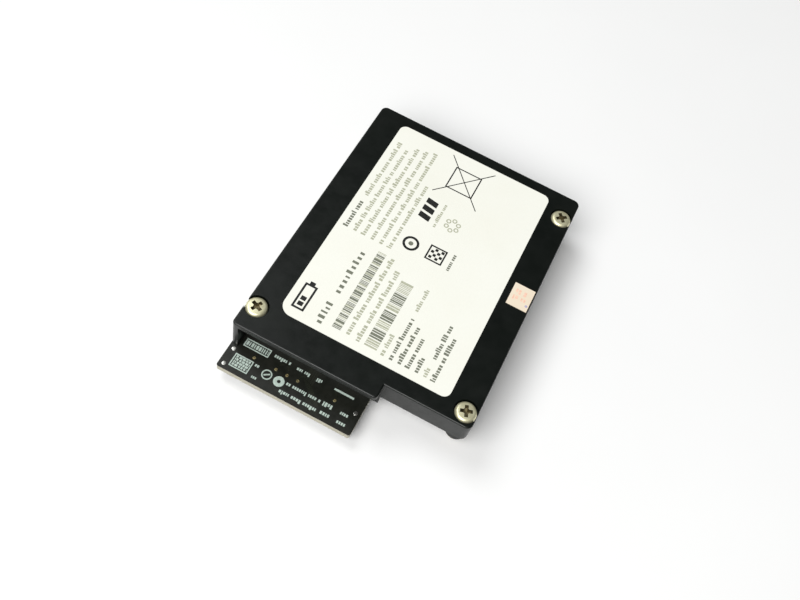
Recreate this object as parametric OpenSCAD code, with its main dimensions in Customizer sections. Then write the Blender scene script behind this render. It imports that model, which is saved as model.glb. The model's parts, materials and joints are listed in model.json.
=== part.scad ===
// Backup battery module for a storage controller card.
// A flat moulded housing holds one pouch cell. A circuit board closes a deeper bay along its left side
// and runs out under a visor as a tab, with a low board-to-board connector on its underside.
// Millimetres, +Z up. X runs along the front edge, Y to the back. The origin is below the middle of the
// whole part, on the level of its lowest point.

/* [Housing] */
// Width of the housing, left to right
body_w = 56; // [52:0.5:64]
// Length of the housing without the visor
body_l = 70.2; // [66:0.2:80]
// Depth from the top face to the underside of the wide part
shallow_depth = 6.3; // [5.6:0.1:7.5]
// Thickness of the side walls
wall = 1.2; // [1:0.1:1.6]
// Thickness of the roof
roof = 1.1; // [0.9:0.1:1.5]
// Radius of the upright corners
corner_r = 1.5; // [0.8:0.1:2.2]
// Radius of the rounded top edges
edge_r = 0.4; // [0.2:0.05:0.6]

/* [Board bay] */
// Outer width of the deep bay over the board
bay_w = 35.3; // [34.6:0.1:37]
// Depth from the top face to the board
bay_depth = 9.8; // [9:0.1:12]
// Thickness of the wall that closes the right side of the bay
bay_wall = 2.3; // [2:0.1:2.6]

/* [Visor] */
// How far the visor stands out over the board tab
visor_reach = 3.75; // [3:0.05:5]
// Thickness of the visor
visor_t = 1.4; // [1:0.1:2]
// Thickness of the cheek at the left end of the visor
cheek_w = 1.6; // [1.2:0.1:2.4]
// Radius of the visor's front corners
visor_r = 1; // [0.5:0.1:1.4]

/* [Bottom cover] */
// Thickness of the bottom cover
cover_t = 0.8; // [0.7:0.1:1.2]
// Gap around the cover
cover_gap = 0.1; // [0.05:0.01:0.2]
// Diameter of the legs and screw bosses
leg_d = 5.2; // [5:0.1:5.4]
// Diameter of the posts that hold the board
post_d = 4; // [3.4:0.1:5]

/* [Fasteners] */
// Distance of the left screw from the left side
left_screw_x = 2.6; // [2.6:0.1:3.4]
// Distance of the left screw from the front face
left_screw_y = 2.4; // [2.3:0.1:3.4]
// Distance of the two right screws from the right side
right_screw_x = 2.65; // [2.6:0.05:3.4]
// Distance of the front right screw from the front face
front_screw_y = 3.5; // [3:0.1:5]
// Distance of the rear right screw from the back face
rear_screw_y = 7.3; // [5:0.1:12]
// Diameter of the screw heads
head_d = 5; // [4.6:0.1:5.2]
// Height of the screw heads
head_h = 1.6; // [1.4:0.1:1.8]
// Length of the screws under the head
screw_l = 6; // [5.6:0.1:6.4]
// Nominal thread diameter
thread_d = 2.5; // [2.4:0.05:2.6]
// Tap drill diameter of the free threads
tap_d = 2.05; // [1.95:0.05:2.1]
// Radial gap between a screw and the hole that it turns in
thread_gap = 0.05; // [0.03:0.01:0.1]
// Diameter of the screw recess in the top face
recess_d = 5.6; // [5.4:0.1:5.8]
// Depth of the screw recess
recess_depth = 1.3; // [1:0.1:1.4]
// Diameter of the clearance hole under the head
clear_d = 2.8; // [2.7:0.05:3]
// Outer diameter of the threaded standoffs
standoff_d = 4; // [3.8:0.1:4.2]
// Length of the threaded standoffs
standoff_l = 8; // [7.6:0.1:8.4]
// Radial gap round a standoff
standoff_gap = 0.05; // [0.02:0.01:0.1]
// Depth of the free thread at the lower end
free_thread = 3.6; // [3:0.1:3.7]

/* [Board] */
// How far the board reaches under the bay's right wall
board_lap = 0.5; // [0.3:0.1:1.2]
// How far the board stands out of the housing
tab_l = 10.1; // [8:0.1:14]
// Thickness of the board
board_t = 1.6; // [1.4:0.1:2]
// Gap between the board and the outer faces at the back
board_inset = 0.5; // [0.3:0.1:0.9]
// Radius of the board's corners
board_r = 0.6; // [0.3:0.1:1]
// Diameter of the board screws
board_screw_d = 2; // [1.8:0.1:2.2]
// Head diameter of the board screws
board_head_d = 3.6; // [3.2:0.1:3.8]
// Head height of the board screws
board_head_h = 1.2; // [1:0.1:1.4]
// Length of the board screws under the head
board_screw_l = 4.4; // [4:0.1:4.8]

/* [Connector] */
// Width of the connector
conn_w = 22; // [18:0.5:26]
// Depth of the connector front to back
conn_l = 5; // [4.4:0.1:6]
// Height of the connector below the board
conn_h = 2.5; // [2:0.1:3]
// Distance of the connector's middle from the board's front edge
conn_y = 4.4; // [3.6:0.1:5]
// Distance from contact to contact
contact_pitch = 0.8; // [0.7:0.05:1]
// Contacts in one row
contact_count = 20; // [16:1:20]

/* [Cell] */
// Free length in front of the cell, for its protection board
cell_front = 9; // [8.8:0.1:11]
// Gap between the cell and the back wall
cell_rear_gap = 0.8; // [0.4:0.1:1.5]
// Gap between the cell and the left wall
cell_side_gap = 1.2; // [0.8:0.1:1.6]
// Gap between the cell and the screw bosses
boss_gap = 0.3; // [0.2:0.1:0.8]
// Thickness of the foam pad over the cell
foam_t = 0.3; // [0.2:0.05:0.5]
// Thickness of the tape under the cell
tape_t = 0.1; // [0.05:0.01:0.15]
// Thickness of the protection board
guard_t = 0.8; // [0.6:0.1:1]
// Diameter of the cell leads
lead_d = 1; // [0.8:0.05:1.1]
// Distance from lead to lead
lead_pitch = 2; // [1.6:0.1:2.2]

/* [Board parts] */
// Distance of the left column of parts from the left wall
left_column = 10.8; // [10:0.1:12]
// Distance of the first row of parts from the front face
first_row = 15; // [14:0.5:18]
// Distance from row to row
row_step = 8.3; // [7:0.1:9]
// Width of the lead header
header_w = 9; // [8.4:0.1:11]
// Depth of the lead header, front to back
header_l = 5; // [4.6:0.1:6]
// Height of the lead header
header_h = 3; // [2.6:0.1:3.2]
// Width of the gauge chip
gauge_w = 7.8; // [6:0.1:8.4]
// Length of the gauge chip without its feet
gauge_l = 4.4; // [4:0.1:5]
// Width of the small chips
chip_w = 4.9; // [4:0.1:5.2]
// Length of the small chips without their feet
chip_l = 3.9; // [3:0.1:4.4]
// Height of the chips
chip_h = 1.5; // [1:0.1:1.8]
// Side of the inductor
inductor_w = 6; // [5:0.1:6.4]
// Height of the inductor
inductor_h = 2.8; // [2:0.1:3]
// Length of a capacitor; the other small blocks follow it
cap_l = 2; // [1.6:0.1:2.4]

/* [Label] */
// Distance of the label from the left side
label_x = 6.95; // [6:0.05:9]
// Distance of the label from the front face
label_y = 4; // [3:0.1:6]
// Distance of the label from the back face
label_back = 3.1; // [2:0.1:6]
// Gap between the label and the seal sticker
label_gap = 1.7; // [0.5:0.1:4]
// Thickness of the label
label_t = 0.12; // [0.08:0.01:0.2]
// Corner radius of the label
label_r = 1.8; // [1:0.1:3]
// Width of the seal sticker
seal_w = 5.2; // [4:0.1:5.4]
// Length of the seal sticker
seal_l = 6.4; // [5:0.1:9]
// Distance of the seal sticker's middle from the front face
seal_y = 36.2; // [20:0.1:50]

/* [Hidden] */
$fn = 48;
// Overlap that lets a cut pass right through a face
eps = 0.05;

// Levels, upwards from the connector's lower face
board_z = conn_h;
board_top = board_z + board_t;
top_z = board_top + bay_depth;
under_z = top_z - shallow_depth;
cover_top = under_z + cover_t;
ceiling = top_z - roof;
cell_z = cover_top + tape_t;
cell_top = ceiling - foam_t;
cell_t = cell_top - cell_z;
head_seat = top_z - recess_depth;
standoff_top = board_z + standoff_l;

// Places in plan, from the front left corner of the housing
screw_spots = [
    [left_screw_x, left_screw_y],
    [body_w - right_screw_x, front_screw_y],
    [body_w - right_screw_x, body_l - rear_screw_y]
];
boss_r = leg_d / 2;
boss_left = body_w - right_screw_x - boss_r;
cell_x = wall + cell_side_gap;
cell_w = boss_left - boss_gap - cell_x;
cell_y = wall + cell_front;
cell_l = body_l - wall - cell_rear_gap - cell_y;
bay_inner = bay_w - bay_wall;
board_w = bay_inner + board_lap;
board_l = tab_l + body_l - board_inset;
post_inset = post_d / 2 + 0.4;
post_spots = [
    [bay_inner - post_inset, wall + post_inset],
    [bay_inner - post_inset, body_l - wall - post_inset],
    [wall + post_inset, body_l - wall - post_inset]
];
guard_size = [36, 3.9];
guard_x = cell_x + 4;
guard_y = cell_y - guard_size[1] - 0.2;
guard_z = cell_z + 0.6;
guard_top = guard_z + guard_t;
lead_row = [guard_x + 6, guard_y + lead_d / 2 + 0.1];
plug_y = lead_row[1] + 4.4;
plug_z = board_top + header_h / 2;
left_x = wall + left_column;
right_x = (lead_row[0] + header_w / 2 + bay_inner) / 2;
seal_x = body_w - edge_r - seal_w;
label_w = seal_x - label_gap - label_x;
label_l = body_l - label_back - label_y;

// Moves a drawing from the front left corner of the housing to the part's own origin
module placed() {
    translate([-body_w / 2, (tab_l - body_l) / 2, 0]) children();
}

// Flat rectangle with round corners, from p to q
module round_rect(p, q, r) {
    union() {
        translate([p[0] + r, p[1]]) square([q[0] - p[0] - 2 * r, q[1] - p[1]]);
        translate([p[0], p[1] + r]) square([q[0] - p[0], q[1] - p[1] - 2 * r]);
        for (x = [p[0] + r, q[0] - r], y = [p[1] + r, q[1] - r]) translate([x, y]) circle(r);
    }
}

// Plate from z0 to z1 with round upright corners
module plate(p, q, r, z0, z1) {
    translate([0, 0, z0]) linear_extrude(z1 - z0) round_rect(p, q, r);
}

// Section of a flat layer from a to c whose upper corners are round
module layer_section(a, c) {
    intersection() {
        union() {
            translate([a + edge_r, 0]) square([c - a - 2 * edge_r, edge_r]);
            for (x = [a + edge_r, c - edge_r]) translate([x, 0]) circle(edge_r);
        }
        translate([a, 0]) square([c - a, edge_r]);
    }
}

// Plate whose top edges are rounded by edge_r
module soft_plate(p, q, r, z0, z1) {
    z = z1 - edge_r;
    size = q - p;
    plate(p, q, r, z0, z);
    translate([p[0] + r, 0, z]) rotate([90, 0, 90]) linear_extrude(size[0] - 2 * r) layer_section(p[1], q[1]);
    translate([0, q[1] - r, z]) rotate([90, 0, 0]) linear_extrude(size[1] - 2 * r) layer_section(p[0], q[0]);
    for (x = [p[0] + r, q[0] - r], y = [p[1] + r, q[1] - r]) translate([x, y, z]) rotate_extrude() {
        intersection() {
            layer_section(-r, r);
            square([r, edge_r]);
        }
    }
}

// Box from corner p to corner q
module block(p, q) {
    translate(p) cube(q - p);
}

// Upright rod from z0 to z1 at spot
module rod(spot, d, z0, z1) {
    translate([spot[0], spot[1], z0]) cylinder(d = d, h = z1 - z0);
}

// Moulded upper shell: roof, walls, visor with its cheek, screw bosses and ribs
module top_housing() {
    color([0.13, 0.14, 0.13]) placed() difference() {
        union() {
            shell_outside();
            visor();
        }
        difference() {
            shell_inside();
            screw_bosses();
            cell_ribs();
        }
        screw_holes();
    }
}

module shell_outside() {
    soft_plate([0, 0], [body_w, body_l], corner_r, under_z, top_z);
    intersection() {
        plate([0, 0], [body_w, body_l], corner_r, board_top, under_z + eps);
        block([0, 0, board_top], [bay_w, body_l, under_z + eps]);
    }
}

module visor() {
    lip = [bay_w, corner_r + visor_r];
    soft_plate([0, -visor_reach], lip, visor_r, top_z - visor_t, top_z);
    intersection() {
        plate([0, -visor_reach], lip, visor_r, board_top, top_z - visor_t + eps);
        block([0, -visor_reach, board_top], [cheek_w, corner_r, top_z]);
    }
}

// The hollow of the shell: the wide part down to its underside, and the bay down to the board
module shell_inside() {
    inner_r = max(corner_r - wall, 0.3);
    plate([wall, wall], [body_w - wall, body_l - wall], inner_r, under_z - eps, ceiling);
    block([wall, wall, board_top - eps], [bay_w + eps, body_l - wall, under_z + eps]);
}

// Solid round each screw: down to the board at the left, down to the cover at the right
module screw_bosses() {
    for (i = [0 : 2]) {
        foot = i == 0 ? board_top - 2 * eps : cover_top;
        rod(screw_spots[i], leg_d, foot, top_z);
        side = i == 0 ? 0 : body_w - wall;
        spot = screw_spots[i];
        block([side, spot[1] - boss_r, foot], [side + wall, spot[1] + boss_r, top_z]);
    }
    block([0, 0, board_top - 2 * eps], [left_screw_x, left_screw_y, top_z]);
}

// Upright ribs on the walls: they stand on the cover and keep the cell in its place
module cell_ribs() {
    rib = 0.8;
    right = cell_x + cell_w + cover_gap;
    for (k = [1 : 4]) {
        y = cell_y + cell_l * k / 5;
        block([wall - eps, y, cover_top], [cell_x - cover_gap, y + rib, ceiling + eps]);
        block([right, y, cover_top], [body_w - wall + eps, y + rib, ceiling + eps]);
    }
    for (k = [1 : 3]) {
        x = cell_x + cell_w * k / 4;
        block([x, cell_y + cell_l + cover_gap, cover_top], [x + rib, body_l - wall + eps, ceiling + eps]);
        block([x, wall - eps, cover_top], [x + rib, wall + rib, ceiling + eps]);
    }
}

// Head recess, clearance hole and seat of the standoff at each screw
module screw_holes() {
    for (spot = screw_spots) {
        rod(spot, recess_d, head_seat, top_z + 1);
        rod(spot, clear_d, standoff_top - eps, top_z);
        rod(spot, standoff_d + 2 * standoff_gap, 0, standoff_top);
    }
}

// Flat lower cover with the bay's right wall, two legs under the right screws and the board posts
module bottom_cover() {
    inner_r = max(corner_r - wall, 0.3);
    low = wall + cover_gap;
    color([0.16, 0.17, 0.17]) placed() difference() {
        union() {
            plate([low, low], [body_w - low, body_l - low], inner_r, under_z, cover_top);
            block([bay_inner, low, board_top], [bay_w, body_l - low, cover_top]);
            for (i = [1, 2]) rod(screw_spots[i], leg_d, board_top, under_z);
            for (spot = post_spots) rod(spot, post_d, board_top, cover_top);
        }
        rod(screw_spots[0], leg_d + 2 * cover_gap, under_z - 1, cover_top + 1);
        block([0, 0, under_z - 1], [left_screw_x, left_screw_y + boss_r + cover_gap, cover_top + 1]);
        block([0, 0, under_z - 1], [left_screw_x + boss_r + cover_gap, left_screw_y, cover_top + 1]);
        for (i = [1, 2]) rod(screw_spots[i], standoff_d + 2 * standoff_gap, 0, top_z);
        for (spot = post_spots) rod(spot, board_screw_d + 2 * thread_gap, 0, board_z + board_screw_l + 0.2);
        lead_slot();
    }
}

// Slot in the cover that lets the leads down to the board
module lead_slot() {
    half = lead_pitch + lead_d;
    p = [lead_row[0] - half, lead_row[1] - lead_d];
    q = [lead_row[0] + half, lead_row[1] + lead_d];
    plate(p, q, 0.6, under_z - 1, cover_top + 1);
}

// Paper label: three round corners, and one corner at the front left cut across
module label() {
    cut = 1.6 * label_r;
    p = [label_x, label_y];
    q = [label_x + label_w, label_y + label_l];
    color([0.96, 0.96, 0.92]) placed() difference() {
        plate(p, q, label_r, top_z, top_z + label_t);
        translate([p[0], p[1], top_z - 1]) linear_extrude(3) difference() {
            translate([-1, -1]) square(cut + 1);
            translate([cut, cut]) circle(cut);
        }
    }
}

module seal_sticker() {
    p = [seal_x, seal_y - seal_l / 2, top_z];
    q = [seal_x + seal_w, seal_y + seal_l / 2, top_z + label_t];
    color([0.95, 0.9, 0.8]) placed() block(p, q);
}

// Pan head with a cross recess, and its shank
module cross_screw(spot, head, high, d, long, seat, up) {
    slot = head * 0.5;
    translate([spot[0], spot[1], seat]) mirror([0, 0, up ? 0 : 1]) difference() {
        union() {
            intersection() {
                cylinder(d = head, h = high);
                translate([0, 0, high - head * 0.9]) sphere(r = head * 0.9);
            }
            translate([0, 0, -long]) cylinder(d = d, h = long + eps);
        }
        for (a = [0, 90]) rotate(a + 20) {
            translate([-slot / 2, -slot / 8, high * 0.4]) cube([slot, slot / 4, high]);
        }
    }
}

module housing_screws() {
    color([0.8, 0.78, 0.66]) placed() for (spot = screw_spots) {
        cross_screw(spot, head_d, head_h, thread_d, screw_l, head_seat, true);
    }
}

// Standoffs with a thread at each end: the upper takes the screw, the lower stays free
module threaded_standoffs() {
    color([0.72, 0.7, 0.6]) placed() for (spot = screw_spots) difference() {
        rod(spot, standoff_d, board_z, standoff_top);
        rod(spot, tap_d, board_z - 1, board_z + free_thread);
        rod(spot, thread_d + 2 * thread_gap, head_seat - screw_l - thread_gap, standoff_top + 1);
    }
}

// Circuit board: closes the bay from below and runs out to the front as a tab
module main_board() {
    color([0.12, 0.14, 0.12]) placed() difference() {
        plate([0, -tab_l], [board_w, board_l - tab_l], board_r, board_z, board_top);
        standoff_notch();
        for (spot = post_spots) rod(spot, board_screw_d + 0.4, 0, top_z);
    }
}

// Open notch in the board's left edge round the left standoff
module standoff_notch() {
    d = standoff_d + 0.6;
    rod(screw_spots[0], d, 0, top_z);
    block([-1, left_screw_y - d / 2, 0], [left_screw_x, left_screw_y + d / 2, top_z]);
}

module board_screws() {
    color([0.75, 0.75, 0.74]) placed() for (spot = post_spots) {
        cross_screw(spot, board_head_d, board_head_h, board_screw_d, board_screw_l, board_z, false);
    }
}

// Plated holes in a row across the tab
module tab_vias() {
    d = 0.7;
    color([0.8, 0.66, 0.3]) placed() for (share = [0.19, 0.355, 0.44, 0.52, 0.8]) {
        rod([board_w * share, -tab_l * 0.43], d, board_top, board_top + 0.04);
    }
}

// Round test pads near the edges of the tab
module tab_pads() {
    d = 1;
    edge = 1.3;
    spots = [
        [edge, -tab_l * 0.46],
        [edge, -tab_l + edge],
        [board_w - edge, -tab_l * 0.46]
    ];
    color([0.75, 0.76, 0.7]) placed() for (spot = spots) rod(spot, d, board_top, board_top + 0.04);
}

// Low board-to-board socket on the underside of the tab, with a long slot in its face
module board_connector() {
    x0 = (board_w - conn_w) / 2;
    y0 = conn_y - tab_l - conn_l / 2;
    rim = 0.9;
    tongue = 0.7;
    mid = y0 + conn_l / 2;
    color([0.1, 0.1, 0.11]) placed() difference() {
        plate([x0, y0], [x0 + conn_w, y0 + conn_l], 0.4, 0, board_z);
        difference() {
            block([x0 + rim, y0 + rim, -1], [x0 + conn_w - rim, y0 + conn_l - rim, conn_h * 0.7]);
            block([x0 + 2 * rim, mid - tongue, -2], [x0 + conn_w - 2 * rim, mid + tongue, conn_h]);
        }
    }
}

// Two rows of solder tails beside the connector, flat on the board
module connector_contacts() {
    tail = [0.3, 0.8, 0.2];
    x0 = board_w / 2 - contact_pitch * (contact_count - 1) / 2;
    mid = conn_y - tab_l;
    color([0.85, 0.75, 0.4]) placed() for (k = [0 : contact_count - 1], side = [-1, 1]) {
        x = x0 + k * contact_pitch - tail[0] / 2;
        y = side < 0 ? mid - conn_l / 2 - tail[1] : mid + conn_l / 2;
        block([x, y, board_z - tail[2]], [x + tail[0], y + tail[1], board_z]);
    }
}

// Pouch cell: body with soft corners, and the sealed strip in front of it
module battery_cell() {
    strip = 2.6;
    color([0.7, 0.72, 0.75]) placed() union() {
        plate([cell_x, cell_y], [cell_x + cell_w, cell_y + cell_l], 1.5, cell_z, cell_top);
        block([cell_x + 2, cell_y - strip, cell_z + 0.3], [cell_x + cell_w - 2, cell_y + 2, cell_z + 0.6]);
    }
}

// Two flat tabs from the cell's front face down to the protection board
module cell_tabs() {
    t = 0.12;
    tab = 4;
    on_board = 1.6;
    color([0.8, 0.8, 0.78]) placed() for (x = [guard_x + 2, guard_x + guard_size[0] - 2 - tab]) {
        block([x, cell_y - on_board, guard_top], [x + tab, cell_y - t, guard_top + t]);
        block([x, cell_y - t, guard_top], [x + tab, cell_y, cell_top - 0.8]);
    }
}

module foam_pad() {
    m = 4;
    p = [cell_x + m, cell_y + m];
    q = [cell_x + cell_w - m, cell_y + cell_l - m];
    color([0.25, 0.25, 0.27]) placed() plate(p, q, 1, cell_top, ceiling);
}

module cell_tape() {
    m = 2;
    p = [cell_x + m, cell_y + m];
    q = [cell_x + cell_w - m, cell_y + cell_l - m];
    color([0.9, 0.9, 0.88]) placed() plate(p, q, 1, cover_top, cell_z);
}

module protection_board() {
    p = [guard_x, guard_y, guard_z];
    q = [guard_x + guard_size[0], guard_y + guard_size[1], guard_top];
    color([0.1, 0.35, 0.2]) placed() block(p, q);
}

// Chip with a row of bent feet along two sides, standing on level z
module footed_chip(spot, w, l, h, feet, pitch, z) {
    foot = [0.35, 0.7, 0.2];
    x0 = spot[0] - pitch * (feet - 1) / 2;
    block([spot[0] - w / 2, spot[1] - l / 2, z + 0.1], [spot[0] + w / 2, spot[1] + l / 2, z + h]);
    for (k = [0 : feet - 1], side = [-1, 1]) {
        y = spot[1] + side * (l / 2 + foot[1] / 2) - foot[1] / 2 - eps;
        x = x0 + k * pitch - foot[0] / 2;
        block([x, y, z], [x + foot[0], y + foot[1] + 2 * eps, z + foot[2]]);
    }
}

module protection_chip() {
    spot = [guard_x + 14, guard_y + 1.95];
    color([0.1, 0.1, 0.1]) placed() footed_chip(spot, 2.9, 1.6, 1.1, 3, 0.95, guard_top);
}

module protection_switch() {
    spot = [guard_x + 20, guard_y + 1.95];
    color([0.1, 0.1, 0.1]) placed() footed_chip(spot, 3, 2.2, 1.1, 4, 0.65, guard_top);
}

module thermal_fuse() {
    p = [guard_x + 24, guard_y + 0.6, guard_top];
    color([0.85, 0.83, 0.7]) placed() block(p, p + [5, 2.6, 0.7]);
}

module thermistor() {
    d = 1.2;
    spot = [guard_x + 10, guard_y + 2, guard_top + d / 2];
    color([0.15, 0.1, 0.08]) placed() translate(spot) sphere(d = d);
}

// One lead: down from the protection board, round a bend, and back into the plug
module cell_lead(i) {
    x = lead_row[0] + i * lead_pitch;
    y = lead_row[1];
    bend = 1.4;
    rod([x, y], lead_d, plug_z + bend, guard_z);
    translate([x, y + bend, plug_z + bend]) rotate([0, 90, 0]) rotate([0, 0, -90]) {
        rotate_extrude(angle = 90) translate([bend, 0]) circle(d = lead_d);
    }
    translate([x, y + bend, plug_z]) rotate([-90, 0, 0]) cylinder(d = lead_d, h = plug_y - y - bend);
}

module positive_lead() {
    color([0.8, 0.1, 0.08]) placed() cell_lead(-1);
}

module negative_lead() {
    color([0.08, 0.08, 0.08]) placed() cell_lead(1);
}

module sense_lead() {
    color([0.9, 0.85, 0.8]) placed() cell_lead(0);
}

// Plug on the ends of the leads, half inside the header
module lead_plug() {
    w = header_w - 2;
    h = header_h - 1.4;
    p = [lead_row[0] - w / 2, plug_y, plug_z - h / 2];
    color([0.92, 0.92, 0.88]) placed() block(p, p + [w, header_l - 1, h]);
}

// Header on the board, open towards the front
module lead_header() {
    side = 0.9;
    x0 = lead_row[0] - header_w / 2;
    y0 = plug_y + 0.8;
    p = [x0, y0, board_top];
    q = [x0 + header_w, y0 + header_l, board_top + header_h];
    cavity_h = header_h - 1.2;
    mouth = [x0 + side, y0 - 1, plug_z - cavity_h / 2];
    color([0.88, 0.87, 0.82]) placed() difference() {
        block(p, q);
        block(mouth, [q[0] - side, q[1] - side, plug_z + cavity_h / 2]);
    }
}

// Distance of row k of the board's parts from the front face
function row(k) = first_row + k * row_step;

module gauge_chip() {
    pitch = 0.65;
    feet = floor(gauge_w / pitch);
    spot = [left_x, row(2)];
    color([0.1, 0.1, 0.1]) placed() footed_chip(spot, gauge_w, gauge_l, chip_h, feet, pitch, board_top);
}

// Flat chip without feet
module charger_chip() {
    p = [right_x - chip_l / 2, row(1) - chip_l / 2, board_top];
    color([0.1, 0.1, 0.1]) placed() block(p, p + [chip_l, chip_l, chip_h * 0.6]);
}

// Chip with four feet along each side
module small_chip(spot) {
    footed_chip(spot, chip_w, chip_l, chip_h, 4, chip_w * 0.26, board_top);
}

module memory_chip() {
    color([0.1, 0.1, 0.1]) placed() small_chip([left_x, row(3)]);
}

module power_switches() {
    color([0.1, 0.1, 0.1]) placed() for (k = [2, 3]) small_chip([right_x, row(k)]);
}

// Shielded coil with a round groove in its top
module power_inductor() {
    spot = [right_x, row(0)];
    half = [inductor_w / 2, inductor_w / 2];
    z1 = board_top + inductor_h;
    color([0.3, 0.3, 0.32]) placed() difference() {
        plate(spot - half, spot + half, 1, board_top, z1);
        difference() {
            rod(spot, inductor_w - 0.8, z1 - 0.3, z1 + 1);
            rod(spot, inductor_w - 2.4, z1 - 1, z1 + 2);
        }
    }
}

// Row of small blocks that stand on the board, about the middle x
module block_row(x, y, size, count) {
    pitch = size[0] * 2;
    for (k = [0 : count - 1]) {
        translate([x + (k - count / 2) * pitch, y, board_top]) cube(size);
    }
}

module capacitors() {
    size = [cap_l * 0.62, cap_l, cap_l * 0.62];
    color([0.72, 0.6, 0.45]) placed() for (x = [left_x, right_x]) block_row(x, row(4), size, 4);
}

module resistors() {
    size = [cap_l * 0.4, cap_l * 0.8, cap_l * 0.22];
    color([0.12, 0.12, 0.13]) placed() {
        block_row(left_x, row(1), size, 6);
        for (x = [left_x, right_x]) block_row(x, row(4.6), size, 7);
    }
}

top_housing();
bottom_cover();
label();
seal_sticker();
housing_screws();
threaded_standoffs();
main_board();
board_screws();
tab_vias();
tab_pads();
board_connector();
connector_contacts();
battery_cell();
cell_tabs();
foam_pad();
cell_tape();
protection_board();
protection_chip();
protection_switch();
thermal_fuse();
thermistor();
positive_lead();
negative_lead();
sense_lead();
lead_plug();
lead_header();
gauge_chip();
charger_chip();
memory_chip();
power_switches();
power_inductor();
capacitors();
resistors();
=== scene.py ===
"""Looks of the battery module: materials, print, silkscreen, fine fittings, floor, light and camera."""

import json
import math
import random

import bmesh
import bpy
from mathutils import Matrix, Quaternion, Vector


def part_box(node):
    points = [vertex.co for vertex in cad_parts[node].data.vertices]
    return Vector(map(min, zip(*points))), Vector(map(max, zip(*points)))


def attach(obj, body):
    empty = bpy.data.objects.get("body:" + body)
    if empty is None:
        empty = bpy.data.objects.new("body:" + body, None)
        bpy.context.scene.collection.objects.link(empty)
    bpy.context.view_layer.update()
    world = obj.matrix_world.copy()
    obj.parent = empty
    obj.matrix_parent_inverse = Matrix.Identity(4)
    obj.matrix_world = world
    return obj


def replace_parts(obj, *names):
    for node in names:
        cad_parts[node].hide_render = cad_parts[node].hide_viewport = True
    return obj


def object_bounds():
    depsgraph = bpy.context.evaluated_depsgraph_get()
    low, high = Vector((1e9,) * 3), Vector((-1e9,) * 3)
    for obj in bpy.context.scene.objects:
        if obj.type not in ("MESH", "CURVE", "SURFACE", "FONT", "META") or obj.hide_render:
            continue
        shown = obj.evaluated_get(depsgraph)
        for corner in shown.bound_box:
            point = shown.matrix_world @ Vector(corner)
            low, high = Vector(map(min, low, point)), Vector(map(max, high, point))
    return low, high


MM = 0.001
X, Y, Z = Vector((1, 0, 0)), Vector((0, 1, 0)), Vector((0, 0, 1))
SMOOTH_ANGLE = math.radians(35)  # corners sharper than this stay sharp

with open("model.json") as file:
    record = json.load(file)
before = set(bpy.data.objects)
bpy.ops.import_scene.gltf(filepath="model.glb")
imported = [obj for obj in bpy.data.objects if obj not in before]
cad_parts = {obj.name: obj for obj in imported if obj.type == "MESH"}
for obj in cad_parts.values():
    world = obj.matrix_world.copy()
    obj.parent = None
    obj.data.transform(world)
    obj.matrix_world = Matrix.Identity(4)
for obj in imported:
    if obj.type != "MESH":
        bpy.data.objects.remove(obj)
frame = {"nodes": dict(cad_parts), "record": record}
cad_box = [list(corner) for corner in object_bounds()]
nodes = frame["nodes"]


# ---------------------------------------------------------------- materials

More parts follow.
